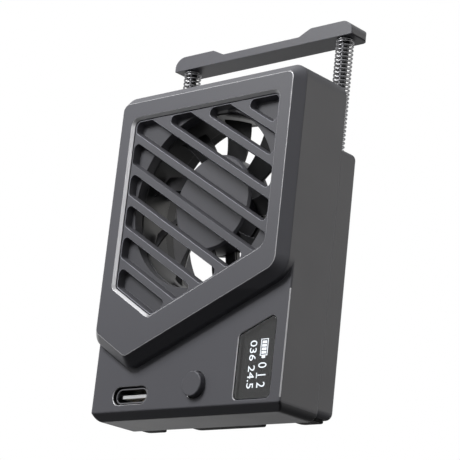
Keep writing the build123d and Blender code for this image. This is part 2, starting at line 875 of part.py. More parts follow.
def spring_path():
    """Centre line of a spring round the Z axis, with a straight upright end at each seat."""
    run = spring_wire
    turn_length = 2 * math.pi * spring_radius
    climb_guess = (spring_length - 2 * (run + spring_bend)) / spring_turns
    slope = math.atan2(climb_guess, turn_length)
    rise = spring_bend * math.cos(slope)
    setback = spring_bend * (1 - math.sin(slope))
    coil_low = run + rise
    coil_high = spring_length - run - rise
    pitch = (coil_high - coil_low) / spring_turns
    along = math.cos(slope)
    up = math.sin(slope)
    first = Vector(spring_radius, -setback, 0)
    bend_start = Vector(spring_radius, -setback, run)
    coil_start = Vector(spring_radius, 0, coil_low)
    edges = [Edge.make_line(first, bend_start)]
    edges.append(Edge.make_tangent_arc(bend_start, Vector(0, 0, 1), coil_start))
    for half in range(2 * spring_turns):
        sign = 1 if half % 2 == 0 else -1
        start = Vector(sign * spring_radius, 0, coil_low + half * pitch / 2)
        end = Vector(-sign * spring_radius, 0, coil_low + (half + 1) * pitch / 2)
        edges.extend(biarc(start, Vector(0, sign * along, up), end, Vector(0, -sign * along, up)))
    coil_end = Vector(spring_radius, 0, coil_high)
    bend_end = Vector(spring_radius, setback, spring_length - run)
    edges.append(Edge.make_tangent_arc(coil_end, Vector(0, along, up), bend_end))
    edges.append(Edge.make_line(bend_end, Vector(spring_radius, setback, spring_length)))
    return edges


def least_gap(edges):
    """Least clear gap between one stretch of the spring wire and another, on points."""
    points = []
    travelled = 0.0
    for edge in edges:
        steps = 5
        for step in range(steps):
            points.append((travelled + edge.length * step / steps, edge @ (step / steps)))
        travelled += edge.length
    apart = math.pi * spring_radius
    least = spring_length
    for index, (reach, point) in enumerate(points):
        for other_reach, other in points[index + 1:]:
            if other_reach - reach > 2.6 * apart:
                break
            if other_reach - reach > apart:
                least = min(least, (other - point).length)
    return least - spring_wire


def make_spring(side, edges):
    """Compression spring round one rod, from the step up to the bar."""
    wire = Wire(edges)
    tube = sweep(Plane.XY.offset(0) * Pos(*(edges[0] @ 0)) * Circle(spring_wire / 2), path=wire)
    return Pos(side * rod_x, rod_y, rear_top) * tube


def make_foot(x_range):
    """Rubber pad under the rear cover."""
    y_range = (body_depth + foot_front_gap, rear_back - foot_back_gap)
    pad = block(x_range, y_range, (rear_lift - foot_height, rear_lift))
    pad = fillet(pad.edges().filter_by(Axis.Z), foot_radius)
    return fillet(pad.faces().sort_by(Axis.Z)[0].edges(), foot_edge_radius)


def make_button_cap():
    """Round push button with a flange behind the case wall."""
    flange_front = wall + button_seat_gap
    flange_back = flange_front + button_flange_thickness
    cap = disc(button_radius, -button_height, flange_front, button_x, button_z)
    cap = fillet(edges_at(cap, -button_height), button_edge_radius)
    cap += disc(button_flange_radius, flange_front, flange_back, button_x, button_z)
    return cap + disc(button_stem_radius, flange_back, plunger_front(), button_x, button_z)


def switch_front():
    """Front face of the switch, which stands on the main board."""
    return board_front - switch_depth


def plunger_front():
    """Front end of the switch plunger, where the button stem meets it."""
    return switch_front() - button_travel - switch_spare


def make_switch_plunger():
    """Plunger of the tactile switch, between the button stem and the switch body."""
    front = plunger_front()
    return disc(plunger_radius, front, front + plunger_length, button_x, button_z)


def make_switch_body():
    """Tactile switch on the main board."""
    half = switch_width / 2
    body = block(
        (button_x - half, button_x + half),
        (switch_front(), board_front),
        (button_z - half, button_z + half),
    )
    body = fillet(body.edges().filter_by(Axis.Y), switch_radius)
    hole_back = plunger_front() + plunger_length + button_travel + switch_spare
    return body - disc(plunger_radius + plunger_gap, 0, hole_back, button_x, button_z)


def make_socket_shell():
    """Steel shell of the charging socket."""
    outer = stadium(socket_width, socket_height)
    inner = stadium(socket_width - 2 * socket_wall, socket_height - 2 * socket_wall)
    shell = prism(outer, socket_front, board_front)
    return shell - prism(inner, socket_front - 1, board_front + 1)


def make_socket_tongue():
    """Contact tongue of the charging socket and the block that holds it."""
    front = socket_front + tongue_setback
    back = front + tongue_length
    tongue = prism(Pos(socket_x, socket_z) * Rectangle(tongue_width, tongue_height), front, back)
    fill = stadium(socket_width - 2 * socket_wall, socket_height - 2 * socket_wall)
    return tongue + prism(fill, back, board_front)


def make_display_window():
    """Clear cover of the display, held by a flange behind the case wall."""
    window = prism(display_outline(display_gap), display_recess, wall)
    return window + prism(display_outline(-display_flange), wall, display_back)


def make_display_panel():
    """Display panel behind its window."""
    return prism(display_outline(-panel_inset), panel_front, panel_back)


def rib_heights():
    """Heights of the two ribs of the display holder."""
    return display_low + rib_low_inset, display_corner_height - rib_high_inset


def make_display_holder():
    """Plastic holder between the display panel and the main board."""
    x_range = (display_left + rib_left_inset, display_right - rib_right_inset)
    low, high = rib_heights()
    lower = block(x_range, (panel_back, board_front), (low, low + rib_thickness))
    upper = block(x_range, (panel_back, board_front), (high, high + rib_thickness))
    stem = block(
        (x_range[1] - rib_thickness, x_range[1]),
        (panel_back, board_front),
        (low, high + rib_thickness),
    )
    return lower + upper + stem


def make_display_flex():
    """Flat cable that folds from the display panel to the main board."""
    half = flex_thickness / 2
    front = panel_back + half
    back = board_front - half
    left = display_left - flex_bulge
    start = display_left + flex_front_overlap
    end = left - flex_back_overlap
    points = [(start, front), (left, front), (left, back), (end, back)]
    low, high = rib_heights()
    middle = (low + rib_thickness + high) / 2
    low = middle - flex_width / 2
    return strip(points, flex_thickness, Plane.XY, low, low + flex_width, flex_bend)


def make_main_board():
    """Main circuit board behind the lower face."""
    width = 2 * board_half_width
    height = board_high - board_low
    outline = Pos(0, board_low + height / 2) * RectangleRounded(width, height, board_radius)
    board = prism(outline, board_front, board_back)
    for x, z in posts[:2]:
        board -= disc(post_radius + board_post_gap, board_front - 1, board_back + 1, x, z)
    for x, z in board_post_places:
        board -= disc(board_screw_radius + screw_hole_gap, board_front - 1, board_back + 1, x, z)
    return board


def make_board_chips():
    """Controller, charger and coil on the front of the main board."""
    chips = []
    for (x, z), (side, height) in zip(chip_places, chip_sizes):
        chips.append(Pos(x, board_front - height / 2, z) * Box(side, height, side))
    return Compound(children=chips)


def make_battery():
    """Flat lithium cell behind the main board."""
    cell = block(
        (-battery_half_width, battery_half_width),
        (battery_front, battery_front + battery_thickness),
        (battery_low, battery_low + battery_height),
    )
    return fillet(cell.edges().filter_by(Axis.X), battery_radius)


def make_battery_lead():
    """Flat lead from the top of the cell to the back of the main board."""
    half = lead_thickness / 2
    cell_top = battery_low + battery_height
    middle = battery_front + battery_thickness / 2
    over = cell_top + battery_lead_rise
    end = board_high - battery_lead_reach
    near = board_back + half
    points = [(middle, cell_top), (middle, over), (near, over), (near, end)]
    low = battery_lead_x - lead_width / 2
    return strip(points, lead_thickness, Plane.YZ, low, low + lead_width, battery_lead_bend)


def build():
    """All pieces by node name."""
    spring_edges = spring_path()
    print("spring: least gap to itself", round(least_gap(spring_edges), 3), "mm")
    end_low = body_half - foot_end_inset - foot_end_length
    end_high = body_half - foot_end_inset
    return {
        "front_shell": make_front_shell(),
        "front_grille": make_front_grille(),
        "rear_cover": make_rear_cover(),
        "chassis_plate": make_chassis_plate(),
        "fan_frame": make_fan_frame(),
        "fan_bearings": make_fan_bearings(),
        "stator_core": make_stator_core(),
        "stator_coils": make_stator_coils(),
        "motor_board": make_motor_board(),
        "fan_lead": make_fan_lead(),
        "impeller": make_impeller(),
        "rotor_yoke": make_rotor_yoke(),
        "magnet_ring": make_magnet_ring(),
        "fan_shaft": make_fan_shaft(),
        "fan_screws": make_fan_screws(),
        "plate_screws": make_plate_screws(),
        "cover_screws": make_cover_screws(),
        "board_screws": make_board_screws(),
        "top_bar": make_top_bar(),
        "guide_rods": make_guide_rods(),
        "guide_bushes": make_guide_bushes(),
        "spring_left": make_spring(-1, spring_edges),
        "spring_right": make_spring(1, spring_edges),
        "foot_left": make_foot((-end_high, -end_low)),
        "foot_middle": make_foot((-foot_middle_length / 2, foot_middle_length / 2)),
        "foot_right": make_foot((end_low, end_high)),
        "button_cap": make_button_cap(),
        "switch_plunger": make_switch_plunger(),
        "switch_body": make_switch_body(),
        "socket_shell": make_socket_shell(),
        "socket_tongue": make_socket_tongue(),
        "display_window": make_display_window(),
        "display_panel": make_display_panel(),
        "display_holder": make_display_holder(),
        "display_flex": make_display_flex(),
        "main_board": make_main_board(),
        "board_chips": make_board_chips(),
        "battery": make_battery(),
        "battery_lead": make_battery_lead(),
    }


os.makedirs("parts", exist_ok=True)
for node, shape in build().items():
    export_step(Pos(0, -middle_y, 0) * shape, f"parts/{node}.step")
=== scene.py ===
"""Finish and fine pieces of a clip-on camera cooling fan, laid out as an add-on.

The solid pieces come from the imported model. This file gives every one of them its finish and adds
the coil springs, the lit marks of the display and the contacts of the charging socket.
"""

import math

import bpy
from bpy.props import FloatProperty, FloatVectorProperty, IntProperty, PointerProperty
from mathutils import Matrix, Vector


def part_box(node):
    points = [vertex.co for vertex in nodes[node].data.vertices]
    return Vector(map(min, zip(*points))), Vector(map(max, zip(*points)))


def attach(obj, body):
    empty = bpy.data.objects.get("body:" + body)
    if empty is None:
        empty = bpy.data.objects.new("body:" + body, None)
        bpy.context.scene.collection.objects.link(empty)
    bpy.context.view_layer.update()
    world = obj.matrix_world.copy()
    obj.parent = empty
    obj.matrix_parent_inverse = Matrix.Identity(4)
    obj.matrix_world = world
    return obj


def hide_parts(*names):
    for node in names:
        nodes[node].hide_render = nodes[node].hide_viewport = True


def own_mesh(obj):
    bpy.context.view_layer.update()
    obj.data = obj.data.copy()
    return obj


bl_info = {
    "name": "Camera cooling fan",
    "version": (1, 0, 0),
    "blender": (4, 5, 0),
    "location": "3D View > Sidebar > Cooling fan",
    "description": "Finishes and fine pieces of a clip-on camera cooling fan",
    "category": "Object",
}

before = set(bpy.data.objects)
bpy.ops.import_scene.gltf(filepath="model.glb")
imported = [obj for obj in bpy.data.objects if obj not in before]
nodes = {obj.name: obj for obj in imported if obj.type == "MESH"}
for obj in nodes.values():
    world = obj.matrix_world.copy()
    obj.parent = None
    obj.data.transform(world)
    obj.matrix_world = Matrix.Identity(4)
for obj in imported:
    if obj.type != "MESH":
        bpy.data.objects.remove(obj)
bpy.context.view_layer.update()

MM = 0.001

# Fan window outline in millimetres: half width, top, and the two sloping lower edges
window_half = 20.8
window_top = 64.95
window_slopes = ((0.41217, 23.67, 0.92455), (-0.62487, 14.134, 0.84805))

# Places on the case and the fan in millimetres: the raised frame's face with the depth of its round and of
# the window's slope, the lower face from its front to the back of its rounds, and the slatted insert
face_y = -10.45
rim_depth = 0.3
window_slope_width = 0.6
window_slope_depth = 0.62
lower_y = (face_y + 3.2, face_y + 3.8)
lower_z = (2.5, 24.0)
opening_side = 24.5
low_corner_top = 3.5
grille_y = -9.7
hollow_y = (grille_y + 0.3, grille_y + 1.7)
fan_height = 45.2
hub_radius = 10.35

# How fast the edge mask grows as the surface turns
edge_gain = 11.0


def colour(name, description, value):
    """A colour setting with its default, in scene linear light."""
    return FloatVectorProperty(
        name=name, description=description, subtype="COLOR", size=3, min=0.0, max=1.0, default=value
    )


def length(name, description, value):
    """A length setting with its default, in metres."""
    return FloatProperty(
        name=name, description=description, subtype="DISTANCE", unit="LENGTH", min=0.0, default=value
    )


class CoolingFanSizes(bpy.types.PropertyGroup):
    """Sizes of the pieces that are modelled here."""

    spring_wire: length("Spring wire", "Thickness of the spring wire", 0.0004)
    spring_radius: length("Spring radius", "From the rod's middle to the wire's middle", 0.00174)
    spring_low: length("Spring seat", "Height of the step that the springs stand on", 0.0564)
    spring_high: length("Spring top", "Height of the bar's underside", 0.0815)
    spring_turns: IntProperty(name="Turns", description="Open turns of a spring", default=27, min=3)
    end_turns: FloatProperty(name="End turns", description="Closed turns at each end", default=1.0)
    rod_side: length("Rod place", "From the middle of the case to a rod", 0.0216)
    rod_back: length("Rod depth", "Place of the rods from front to back", 0.00705)
    mark_depth: length("Mark depth", "Thickness of a lit mark of the display", 0.00004)
    contact_pitch: length("Contact pitch", "From one socket contact to the next", 0.0005)


class CoolingFanColours(bpy.types.PropertyGroup):
    """Colours of the finishes."""

    case: colour("Case", "Moulded case, rear cover and bar", (0.0955, 0.096, 0.1085))
    # A painted highlight: a light colour laid on the slope round the window, the raised frame's front
    # rounds and the lower face's edges
    window_highlight: colour("Window edge", "Rubbed edges and the slope round the window", (0.46, 0.46, 0.475))
    grille: colour("Grille", "Slatted insert", (0.088, 0.0885, 0.1))
    fan: colour("Fan", "Hub of the fan", (0.104, 0.104, 0.116))
    # A dark colour laid on the fan frame, its duct and the blades as painted shade inside the fan
    duct: colour("Duct", "Fan frame, its duct and the blades", (0.035, 0.035, 0.037))
    inner: colour("Inner plastic", "Plate and holders inside", (0.03, 0.03, 0.032))
    rubber: colour("Rubber", "Feet", (0.012, 0.012, 0.012))
    steel: colour("Steel", "Shaft and bearings", (0.56, 0.56, 0.57))
    rod: colour("Rod", "Dark guide rods", (0.05, 0.05, 0.053))
    spring: colour("Spring", "Drawn spring wire", (0.24, 0.24, 0.25))
    dark_steel: colour("Dark steel", "Socket shell", (0.16, 0.16, 0.17))
    tongue: colour("Tongue", "Contact tongue of the socket", (0.72, 0.73, 0.74))
    lens: colour("Lens", "Smoked cover of the display", (0.34, 0.345, 0.355))
    marks: colour("Marks", "Lit marks of the display", (0.86, 0.9, 0.93))
    board: colour("Board", "Circuit boards", (0.01, 0.06, 0.03))
    copper: colour("Copper", "Windings", (0.72, 0.3, 0.13))


class CoolingFanSettings(bpy.types.PropertyGroup):
    """All settings of the cooling fan."""

    sizes: PointerProperty(type=CoolingFanSizes)
    colours: PointerProperty(type=CoolingFanColours)


def settings():
    """The settings kept in the scene."""
    return bpy.context.scene.cooling_fan


# Node work for the finishes


class Finish:
    """A material under construction, with short calls for the nodes it uses."""

    def __init__(self, name):
        self.material = bpy.data.materials.new(name)
        self.material.use_nodes = True
        self.tree = self.material.node_tree
        self.tree.nodes.clear()
        self.output = self.tree.nodes.new("ShaderNodeOutputMaterial")
        self.shader = self.tree.nodes.new("ShaderNodeBsdfPrincipled")
        self.link(self.shader.outputs["BSDF"], self.output.inputs["Surface"])
        self.place = self.tree.nodes.new("ShaderNodeTexCoord").outputs["Object"]

    def link(self, source, target):
        self.tree.links.new(source, target)

    def node(self, kind, values=None, **inputs):
        """A node with plain attributes in values and sockets in inputs; a socket may be linked."""
        made = self.tree.nodes.new(kind)
        for key, value in (values or {}).items():
            setattr(made, key, value)
        for key, value in inputs.items():
            socket = made.inputs[key.replace("_", " ")]
            if isinstance(value, bpy.types.NodeSocket):
                self.link(value, socket)
            else:
                socket.default_value = value
        return made

    def math(self, operation, first, second=0.0, third=None):
        """One step of arithmetic on two or three numbers or sockets."""
        made = self.tree.nodes.new("ShaderNodeMath")
        made.operation = operation
        for index, value in enumerate((first, second, third)):
            if isinstance(value, bpy.types.NodeSocket):
                self.link(value, made.inputs[index])
            elif value is not None:
                made.inputs[index].default_value = value
        return made.outputs["Value"]

    def noise(self, scale, detail=2.0, roughness=0.5, stretch=None):
        """Noise on the object's own coordinates, with features of about one part in scale metres."""
        vector = self.place
        if stretch:
            vector = self.node("ShaderNodeMapping", Vector=vector, Scale=stretch).outputs["Vector"]
        made = self.node(
            "ShaderNodeTexNoise", Vector=vector, Scale=scale, Detail=detail, Roughness=roughness
        )
        return made.outputs["Fac"]

    def between(self, share, low, high):
        """A number that goes from low to high as share goes from 0 to 1."""
        made = self.node("ShaderNodeMapRange", Value=share)
        made.inputs["To Min"].default_value = low
        made.inputs["To Max"].default_value = high
        return made.outputs["Result"]

    def tint(self, share, low, high):
        """A colour between two, by share."""
        made = self.tree.nodes.new("ShaderNodeMix")
        made.data_type = "RGBA"
        self.link(share, made.inputs[0])
        for socket, value in ((made.inputs[6], low), (made.inputs[7], high)):
            if isinstance(value, bpy.types.NodeSocket):
                self.link(value, socket)
            else:
                socket.default_value = (*value, 1.0)
        return made.outputs[2]

    def edges(self, radius):
        """Rounded normal, and a mask that is high where an edge turns within that radius."""
        rounded = self.node("ShaderNodeBevel", {"samples": 6}, Radius=radius).outputs["Normal"]
        flat = self.tree.nodes.new("ShaderNodeNewGeometry").outputs["Normal"]
        made = self.node("ShaderNodeVectorMath", {"operation": "DOT_PRODUCT"})
        self.link(rounded, made.inputs[0])
        self.link(flat, made.inputs[1])
        turned = self.math("SUBTRACT", 1.0, made.outputs["Value"])
        mask = self.math("MULTIPLY", turned, edge_gain)
        return rounded, self.math("MINIMUM", mask, 1.0)

    def bump(self, height, distance, strength=1.0, normal=None):
        """Fine relief on the shader's normal."""
        made = self.node("ShaderNodeBump", Height=height, Distance=distance, Strength=strength)
        if normal:
            self.link(normal, made.inputs["Normal"])
        self.link(made.outputs["Normal"], self.shader.inputs["Normal"])

    def set(self, **inputs):
        """Sockets of the shader, each a number, a colour or a link."""
        for key, value in inputs.items():
            socket = self.shader.inputs[key.replace("_", " ")]
            if isinstance(value, bpy.types.NodeSocket):
                self.link(value, socket)
            elif hasattr(value, "__len__") and len(value) == 3:
                socket.default_value = (*value, 1.0)
            else:
                socket.default_value = value


def shade(base, factor):
    """A colour made darker or lighter."""
    return tuple(min(max(part * factor, 0.0), 1.0) for part in base)


def moulded(name, base, roughness=0.5, grain=0.000012, edge=1.35, radius=0.00014, specular=0.3):
    """Spark-textured moulded plastic: fine grain, faint flow marks, and slightly polished edges that are
    also lighter in colour, as wear and a painted highlight.
    """
    finish = Finish(name)
    grain_share = finish.noise(6500.0, 3.0, 0.6)
    cloud = finish.noise(95.0, 3.0, 0.55)
    rounded, edge_mask = finish.edges(radius)
    body = finish.tint(cloud, shade(base, 0.95), shade(base, 1.05))
    speck = finish.tint(grain_share, shade(base, 0.82), shade(base, 1.18))
    mixed = finish.tint(finish.math("MULTIPLY", grain_share, 0.55), body, speck)
    # Edges lighter by the edge factor, as wear and a painted highlight
    wear_and_highlight_colour = finish.tint(finish.math("MULTIPLY", edge_mask, 0.75), mixed, shade(base, edge))
    dull = finish.between(cloud, roughness - 0.03, roughness + 0.04)
    polish = finish.math("MULTIPLY", edge_mask, 0.16)
    finish.set(Base_Color=wear_and_highlight_colour, Roughness=finish.math("SUBTRACT", dull, polish))
    finish.set(Specular_IOR_Level=specular)
    finish.bump(grain_share, grain, 0.7, rounded)
    return finish


def within(finish, value, low, high):
    """1 where a value lies between two limits, and 0 elsewhere."""
    above = finish.math("GREATER_THAN", value, low)
    return finish.math("MULTIPLY", above, finish.math("LESS_THAN", value, high))


def all_of(finish, *masks):
    """1 where every mask is 1, and 0 elsewhere."""
    whole = masks[0]
    for mask in masks[1:]:
        whole = finish.math("MULTIPLY", whole, mask)
    return whole


def place_axes(finish):
    """The object's own coordinates, each in millimetres."""
    axes = finish.node("ShaderNodeSeparateXYZ", Vector=finish.place).outputs
    return [finish.math("DIVIDE", axes[key], MM) for key in "XYZ"]


def normal_axes(finish):
    """The three parts of the surface's own normal."""
    normal = finish.tree.nodes.new("ShaderNodeNewGeometry").outputs["True Normal"]
    axes = finish.node("ShaderNodeSeparateXYZ", Vector=normal).outputs
    return [axes[key] for key in "XYZ"]


def recolour(finish, mask, base):
    """Another colour, or a linked one, where the mask is 1."""
    old = finish.shader.inputs["Base Color"].links[0].from_socket
    finish.set(Base_Color=finish.tint(mask, old, base))


def grille_finish(name, base):
    """Slat plastic, with painted shade in the hollows between the slats and a painted highlight on the
    small rounds in front.
    """
    finish = moulded(name, base, 0.54, edge=1.8)
    # Painted shade, darker towards the back of the hollows between the slats
    hollow_shade = finish.node("ShaderNodeMapRange", Value=place_axes(finish)[1])
    hollow_shade.inputs["From Min"].default_value, hollow_shade.inputs["From Max"].default_value = hollow_y
    recolour(finish, hollow_shade.outputs["Result"], shade(base, 0.74))
    # Painted highlight on the small rounds in front of the slats
    lean = normal_axes(finish)[1]
    recolour(finish, within(finish, lean, -0.985, -0.3), shade(base, 3.2))
    return finish


def rotor_finish(name, base, blade_shade):
    """Satin hub plastic, with painted shade on the blades and a painted highlight on their edges."""
    finish = moulded(name, base, 0.4, grain=0.000005)
    axes = finish.node("ShaderNodeSeparateXYZ", Vector=finish.place)
    rise = finish.math("SUBTRACT", axes.outputs["Z"], fan_height * MM)
    across = finish.math("POWER", axes.outputs["X"], 2.0)
    spread = finish.math("SQRT", finish.math("ADD", across, finish.math("POWER", rise, 2.0)))
    blades = finish.math("GREATER_THAN", spread, hub_radius * MM + 0.00005)
    # Blades take the blade colour as painted shade, with a painted highlight on their edges
    edge_mask = finish.edges(0.00012)[1]
    recolour(finish, blades, finish.tint(edge_mask, blade_shade, shade(base, 1.6)))
    return finish


def case_finish(name, base, painted_highlight):
    """Case plastic with a painted highlight on its edges, and painted shade on the opening walls and low
    corners.
    """
    finish = moulded(name, base, edge=2.5, radius=0.00018)
    x, y, z = place_axes(finish)
    across, lean, rise = normal_axes(finish)
    low_part = within(finish, z, *lower_z)

    # Painted highlight on the rounds at the raised frame's front edge, and on the edges of the lower face
    # with its openings
    rim = all_of(
        finish, within(finish, lean, -0.985, -0.76), finish.math("LESS_THAN", y, face_y + rim_depth)
    )
    recolour(finish, rim, painted_highlight)
    corner = all_of(finish, within(finish, lean, -0.95, -0.35), low_part)
    recolour(finish, all_of(finish, corner, within(finish, y, *lower_y)), painted_highlight)

    # Painted shade on the walls of the lower face's openings, and on the rounds at the low side corners
    opening = all_of(
        finish,
        within(finish, lean, -0.3, 0.3),
        finish.math("GREATER_THAN", y, lower_y[0]),
        low_part,
        within(finish, x, -opening_side, opening_side),
    )
    recolour(finish, opening, shade(base, 0.15))
    under = all_of(
        finish,
        within(finish, rise, -0.97, -0.2),
        within(finish, finish.math("ABSOLUTE", across), 0.2, 0.97),
        finish.math("LESS_THAN", z, low_corner_top),
    )
    recolour(finish, under, shade(base, 0.3))

    # Painted highlight on the slope round the fan window, found by its distance outside the window's
    # outline
    outside = finish.math("SUBTRACT", finish.math("ABSOLUTE", x), window_half)
    outside = finish.math("MAXIMUM", outside, finish.math("SUBTRACT", z, window_top))
    for slope, height, cosine in window_slopes:
        line = finish.math("MULTIPLY_ADD", x, slope, height)
        below = finish.math("MULTIPLY", finish.math("SUBTRACT", line, z), cosine)
        outside = finish.math("MAXIMUM", outside, below)
    mask = all_of(
        finish,
        finish.math("LESS_THAN", outside, window_slope_width),
        finish.math("GREATER_THAN", lean, -0.93),
        finish.math("LESS_THAN", y, face_y + window_slope_depth),
    )
    recolour(finish, mask, painted_highlight)
    mask = finish.math("MAXIMUM", mask, finish.math("MAXIMUM", rim, corner))
    dull = finish.shader.inputs["Roughness"].links[0].from_socket
    shine = finish.between(finish.noise(900.0, 2.0, 0.5), 0.27, 0.33)
    gloss = finish.node("ShaderNodeMapRange", Value=mask)
    finish.link(dull, gloss.inputs["To Min"])
    finish.link(shine, gloss.inputs["To Max"])
    finish.set(Roughness=gloss.outputs["Result"])
    finish.set(Metallic=finish.math("MULTIPLY", mask, 0.35))
    return finish


def metal(name, base, roughness=0.3, brushed=None, wear=0.35):
    """Steel, brass or copper with drawn lines, dull patches and bright edges."""
    finish = Finish(name)
    stretch = brushed or (1.0, 1.0, 1.0)
    lines = finish.noise(5200.0, 2.0, 0.5, stretch)
    patch = finish.noise(420.0, 3.0, 0.6)
    rounded, edge_mask = finish.edges(0.00006)
    tone = finish.tint(patch, shade(base, 0.86), shade(base, 1.08))
    tone = finish.tint(finish.math("MULTIPLY", edge_mask, wear), tone, shade(base, 1.3))
    finish.set(Base_Color=tone, Metallic=1.0)
    finish.set(Roughness=finish.between(patch, roughness - 0.05, roughness + 0.1))
    finish.bump(lines, 0.000004, 0.5, rounded)
    return finish


def rubber(name, base):
    """Matt black rubber with a faint grain and a trace of dust."""
    finish = Finish(name)
    grain = finish.noise(3800.0, 4.0, 0.65)
    dust = finish.noise(260.0, 4.0, 0.6)
    rounded, edge_mask = finish.edges(0.00015)
    tone = finish.tint(finish.math("POWER", dust, 3.0), base, shade(base, 2.2))
    tone = finish.tint(finish.math("MULTIPLY", edge_mask, 0.4), tone, shade(base, 2.6))
    finish.set(Base_Color=tone, Roughness=finish.between(grain, 0.72, 0.88), Specular_IOR_Level=0.15)
    finish.bump(grain, 0.00002, 0.8, rounded)
    return finish


def lens(name, base):
    """Smoked clear plastic with a hard coat."""
    finish = Finish(name)
    wave = finish.noise(60.0, 1.0, 0.4)
    smear = finish.noise(180.0, 3.0, 0.5)
    rounded = finish.edges(0.0001)[0]
    finish.set(Base_Color=finish.tint(smear, shade(base, 0.97), shade(base, 1.0)))
    finish.set(Roughness=finish.between(smear, 0.04, 0.08), IOR=1.49, Transmission_Weight=1.0)
    finish.bump(wave, 0.000003, 0.4, rounded)
    return finish


def circuit(name, base):
    """Solder-masked circuit board with tracks under the mask."""
    finish = Finish(name)
    brick = finish.node(
        "ShaderNodeTexBrick",
        {"offset": 0.5},
        Vector=finish.node(
            "ShaderNodeMapping", Vector=finish.place, Rotation=(math.radians(90), 0.0, 0.0)
        ).outputs["Vector"],
        Scale=520.0,
        Mortar_Size=0.04,
    )
    track = brick.outputs["Fac"]
    cloud = finish.noise(700.0, 3.0, 0.6)
    tone = finish.tint(cloud, shade(base, 0.8), shade(base, 1.2))
    finish.set(Base_Color=finish.tint(track, tone, shade(base, 1.9)))
    finish.set(Roughness=finish.between(cloud, 0.28, 0.4))
    finish.bump(track, 0.00002, 0.6)
    return finish


def wound(name, base):
    """Enamelled copper wire, as fine parallel turns."""
    finish = Finish(name)
    turns = finish.node("ShaderNodeTexWave", {"bands_direction": "Y"}, Vector=finish.place, Scale=900.0)
    share = turns.outputs["Fac"]
    cloud = finish.noise(800.0, 2.0, 0.5)
    tone = finish.tint(cloud, shade(base, 0.75), shade(base, 1.1))
    finish.set(Base_Color=finish.tint(share, shade(base, 0.5), tone), Metallic=0.85)
    finish.set(Roughness=finish.between(cloud, 0.25, 0.4))
    finish.bump(share, 0.00008, 0.9)
    return finish


def lit(name, base):
    """A lit display mark with the faint dot pattern of its pixels."""
    finish = Finish(name)
    dots = finish.noise(7000.0, 1.0, 0.5)
    tone = finish.tint(dots, shade(base, 0.9), shade(base, 1.04))
    finish.set(Base_Color=(0.02, 0.02, 0.02), Roughness=0.5)
    finish.set(Emission_Color=tone, Emission_Strength=3.8)
    return finish


def paint(finish, *names):
    """One finish on CAD nodes, in every slot of theirs."""
    for name in names:
        piece = nodes[name]
        if not piece.material_slots:
            piece.data.materials.append(finish.material)
        for place in piece.material_slots:
            place.material = finish.material


# Modelling


def nothing_selected():
    """Deselects every object, so that an operator acts on its own piece only."""
    if bpy.context.object and bpy.context.object.mode != "OBJECT":
        bpy.ops.object.mode_set(mode="OBJECT")
    bpy.ops.object.select_all(action="DESELECT")


def alone(piece):
    """Makes one piece the selected and active one."""
    nothing_selected()
    piece.select_set(True)
    bpy.context.view_layer.objects.active = piece


def settle(piece):
    """Puts a piece's place, turn and scale into its mesh."""
    alone(piece)
    bpy.ops.object.transform_apply(location=True, rotation=True, scale=True)


def apply_modifiers(piece):
    """Applies every modifier of a piece, in order."""
    alone(piece)
    for modifier in list(piece.modifiers):
        bpy.ops.object.modifier_apply(modifier=modifier.name)


def joined(pieces, name):
    """One piece joined from several."""
    nothing_selected()
    for piece in pieces:
        piece.select_set(True)
    bpy.context.view_layer.objects.active = pieces[0]
    if len(pieces) > 1:
        bpy.ops.object.join()
    whole = bpy.context.object
    whole.name = name
    whole.data.name = name
    return whole


def finished(piece, finish, body, stands_for=()):
    """Last steps of a new piece: finish, body and what it stands for."""
    piece.data.materials.clear()
    piece.data.materials.append(finish.material)
    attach(piece, body)
    if stands_for:
        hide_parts(*stands_for)
    return piece


def coil_run(turns, climb, start_angle, low, name):
    """One stretch of coiled wire, turned up from a round section by the Screw modifier."""
    sizes = settings().sizes
    nothing_selected()
    bpy.ops.mesh.primitive_circle_add(
        radius=sizes.spring_wire / 2,
        vertices=10,
        location=(sizes.spring_radius, 0, 0),
        rotation=(math.radians(90), 0, 0),
    )
    piece = bpy.context.object
    piece.name = name
    settle(piece)
    screw = piece.modifiers.new("coil", "SCREW")
    screw.angle = math.radians(360) * turns
    screw.screw_offset = climb * turns
    screw.steps = round(22 * turns)
    screw.render_steps = screw.steps
    screw.use_smooth_shade = True
    screw.use_merge_vertices = False
    apply_modifiers(piece)
    piece.rotation_euler = (0, 0, start_angle)
    piece.location = (0, 0, low)
    settle(piece)
    return piece


def spring(side, name, stands_for):
    """A compression spring with closed end turns, round one rod."""
    sizes = settings().sizes
    wire = sizes.spring_wire
    ends = sizes.end_turns
    low = sizes.spring_low + wire / 2
    high = sizes.spring_high - wire / 2
    closed = ends * wire * 1.03
    climb = (high - low - 2 * closed) / sizes.spring_turns
    runs = [coil_run(ends, wire * 1.03, 0.0, low, name)]
    turned = math.radians(360) * ends
    runs.append(coil_run(sizes.spring_turns, climb, turned, low + closed, name))
    turned += math.radians(360) * sizes.spring_turns
    runs.append(coil_run(ends, wire * 1.03, turned, high - closed, name))
    piece = joined(runs, name)
    alone(piece)
    bpy.ops.object.mode_set(mode="EDIT")
    bpy.ops.mesh.select_all(action="SELECT")
    bpy.ops.mesh.remove_doubles(threshold=wire * 0.06)
    bpy.ops.mesh.select_all(action="DESELECT")
    bpy.ops.mesh.select_non_manifold()
    bpy.ops.mesh.edge_face_add()
    bpy.ops.mesh.select_all(action="SELECT")
    bpy.ops.mesh.normals_make_consistent(inside=False)
    bpy.ops.object.mode_set(mode="OBJECT")
    piece.location = (side * sizes.rod_side, sizes.rod_back, 0)
    settle(piece)
    return piece


